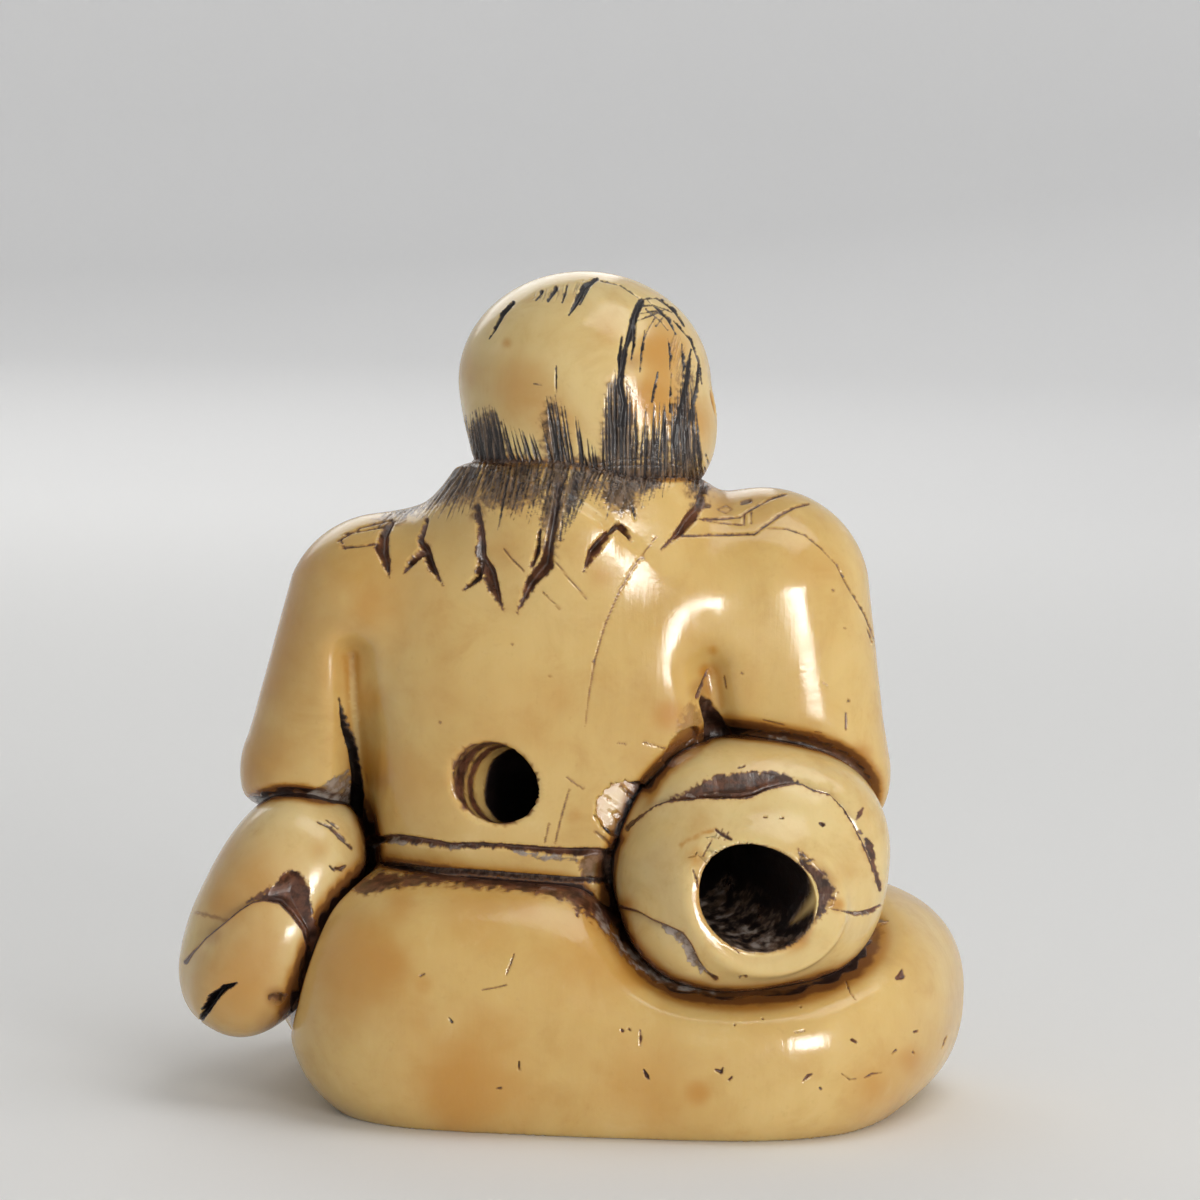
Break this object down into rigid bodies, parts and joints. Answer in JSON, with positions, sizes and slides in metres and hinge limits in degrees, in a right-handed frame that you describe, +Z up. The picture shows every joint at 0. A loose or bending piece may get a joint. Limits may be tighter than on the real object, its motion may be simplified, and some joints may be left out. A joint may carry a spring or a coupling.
{
  "type": "netsuke",
  "caption": "Small ivory-coloured carving of a seated, long-haired figure in a loose robe, with a cord tunnel bored through the back, worn as a sash toggle.",
  "frame": {"origin": "middle of the overall box in X and Y, on the flat underside", "axes": "+Z up through the head, -Y the way the knees and lap face, +Y out of the back with the cord holes, +X towards the figure's left hand"},
  "size_m": [0.0364, 0.0238, 0.0381],
  "materials": {
    "netsuke": "polished aged ivory, warm cream to amber, with brown staining in the recesses"
  },
  "bodies": {
    "root": {"netsuke": "netsuke"}
  },
  "joints": []
}
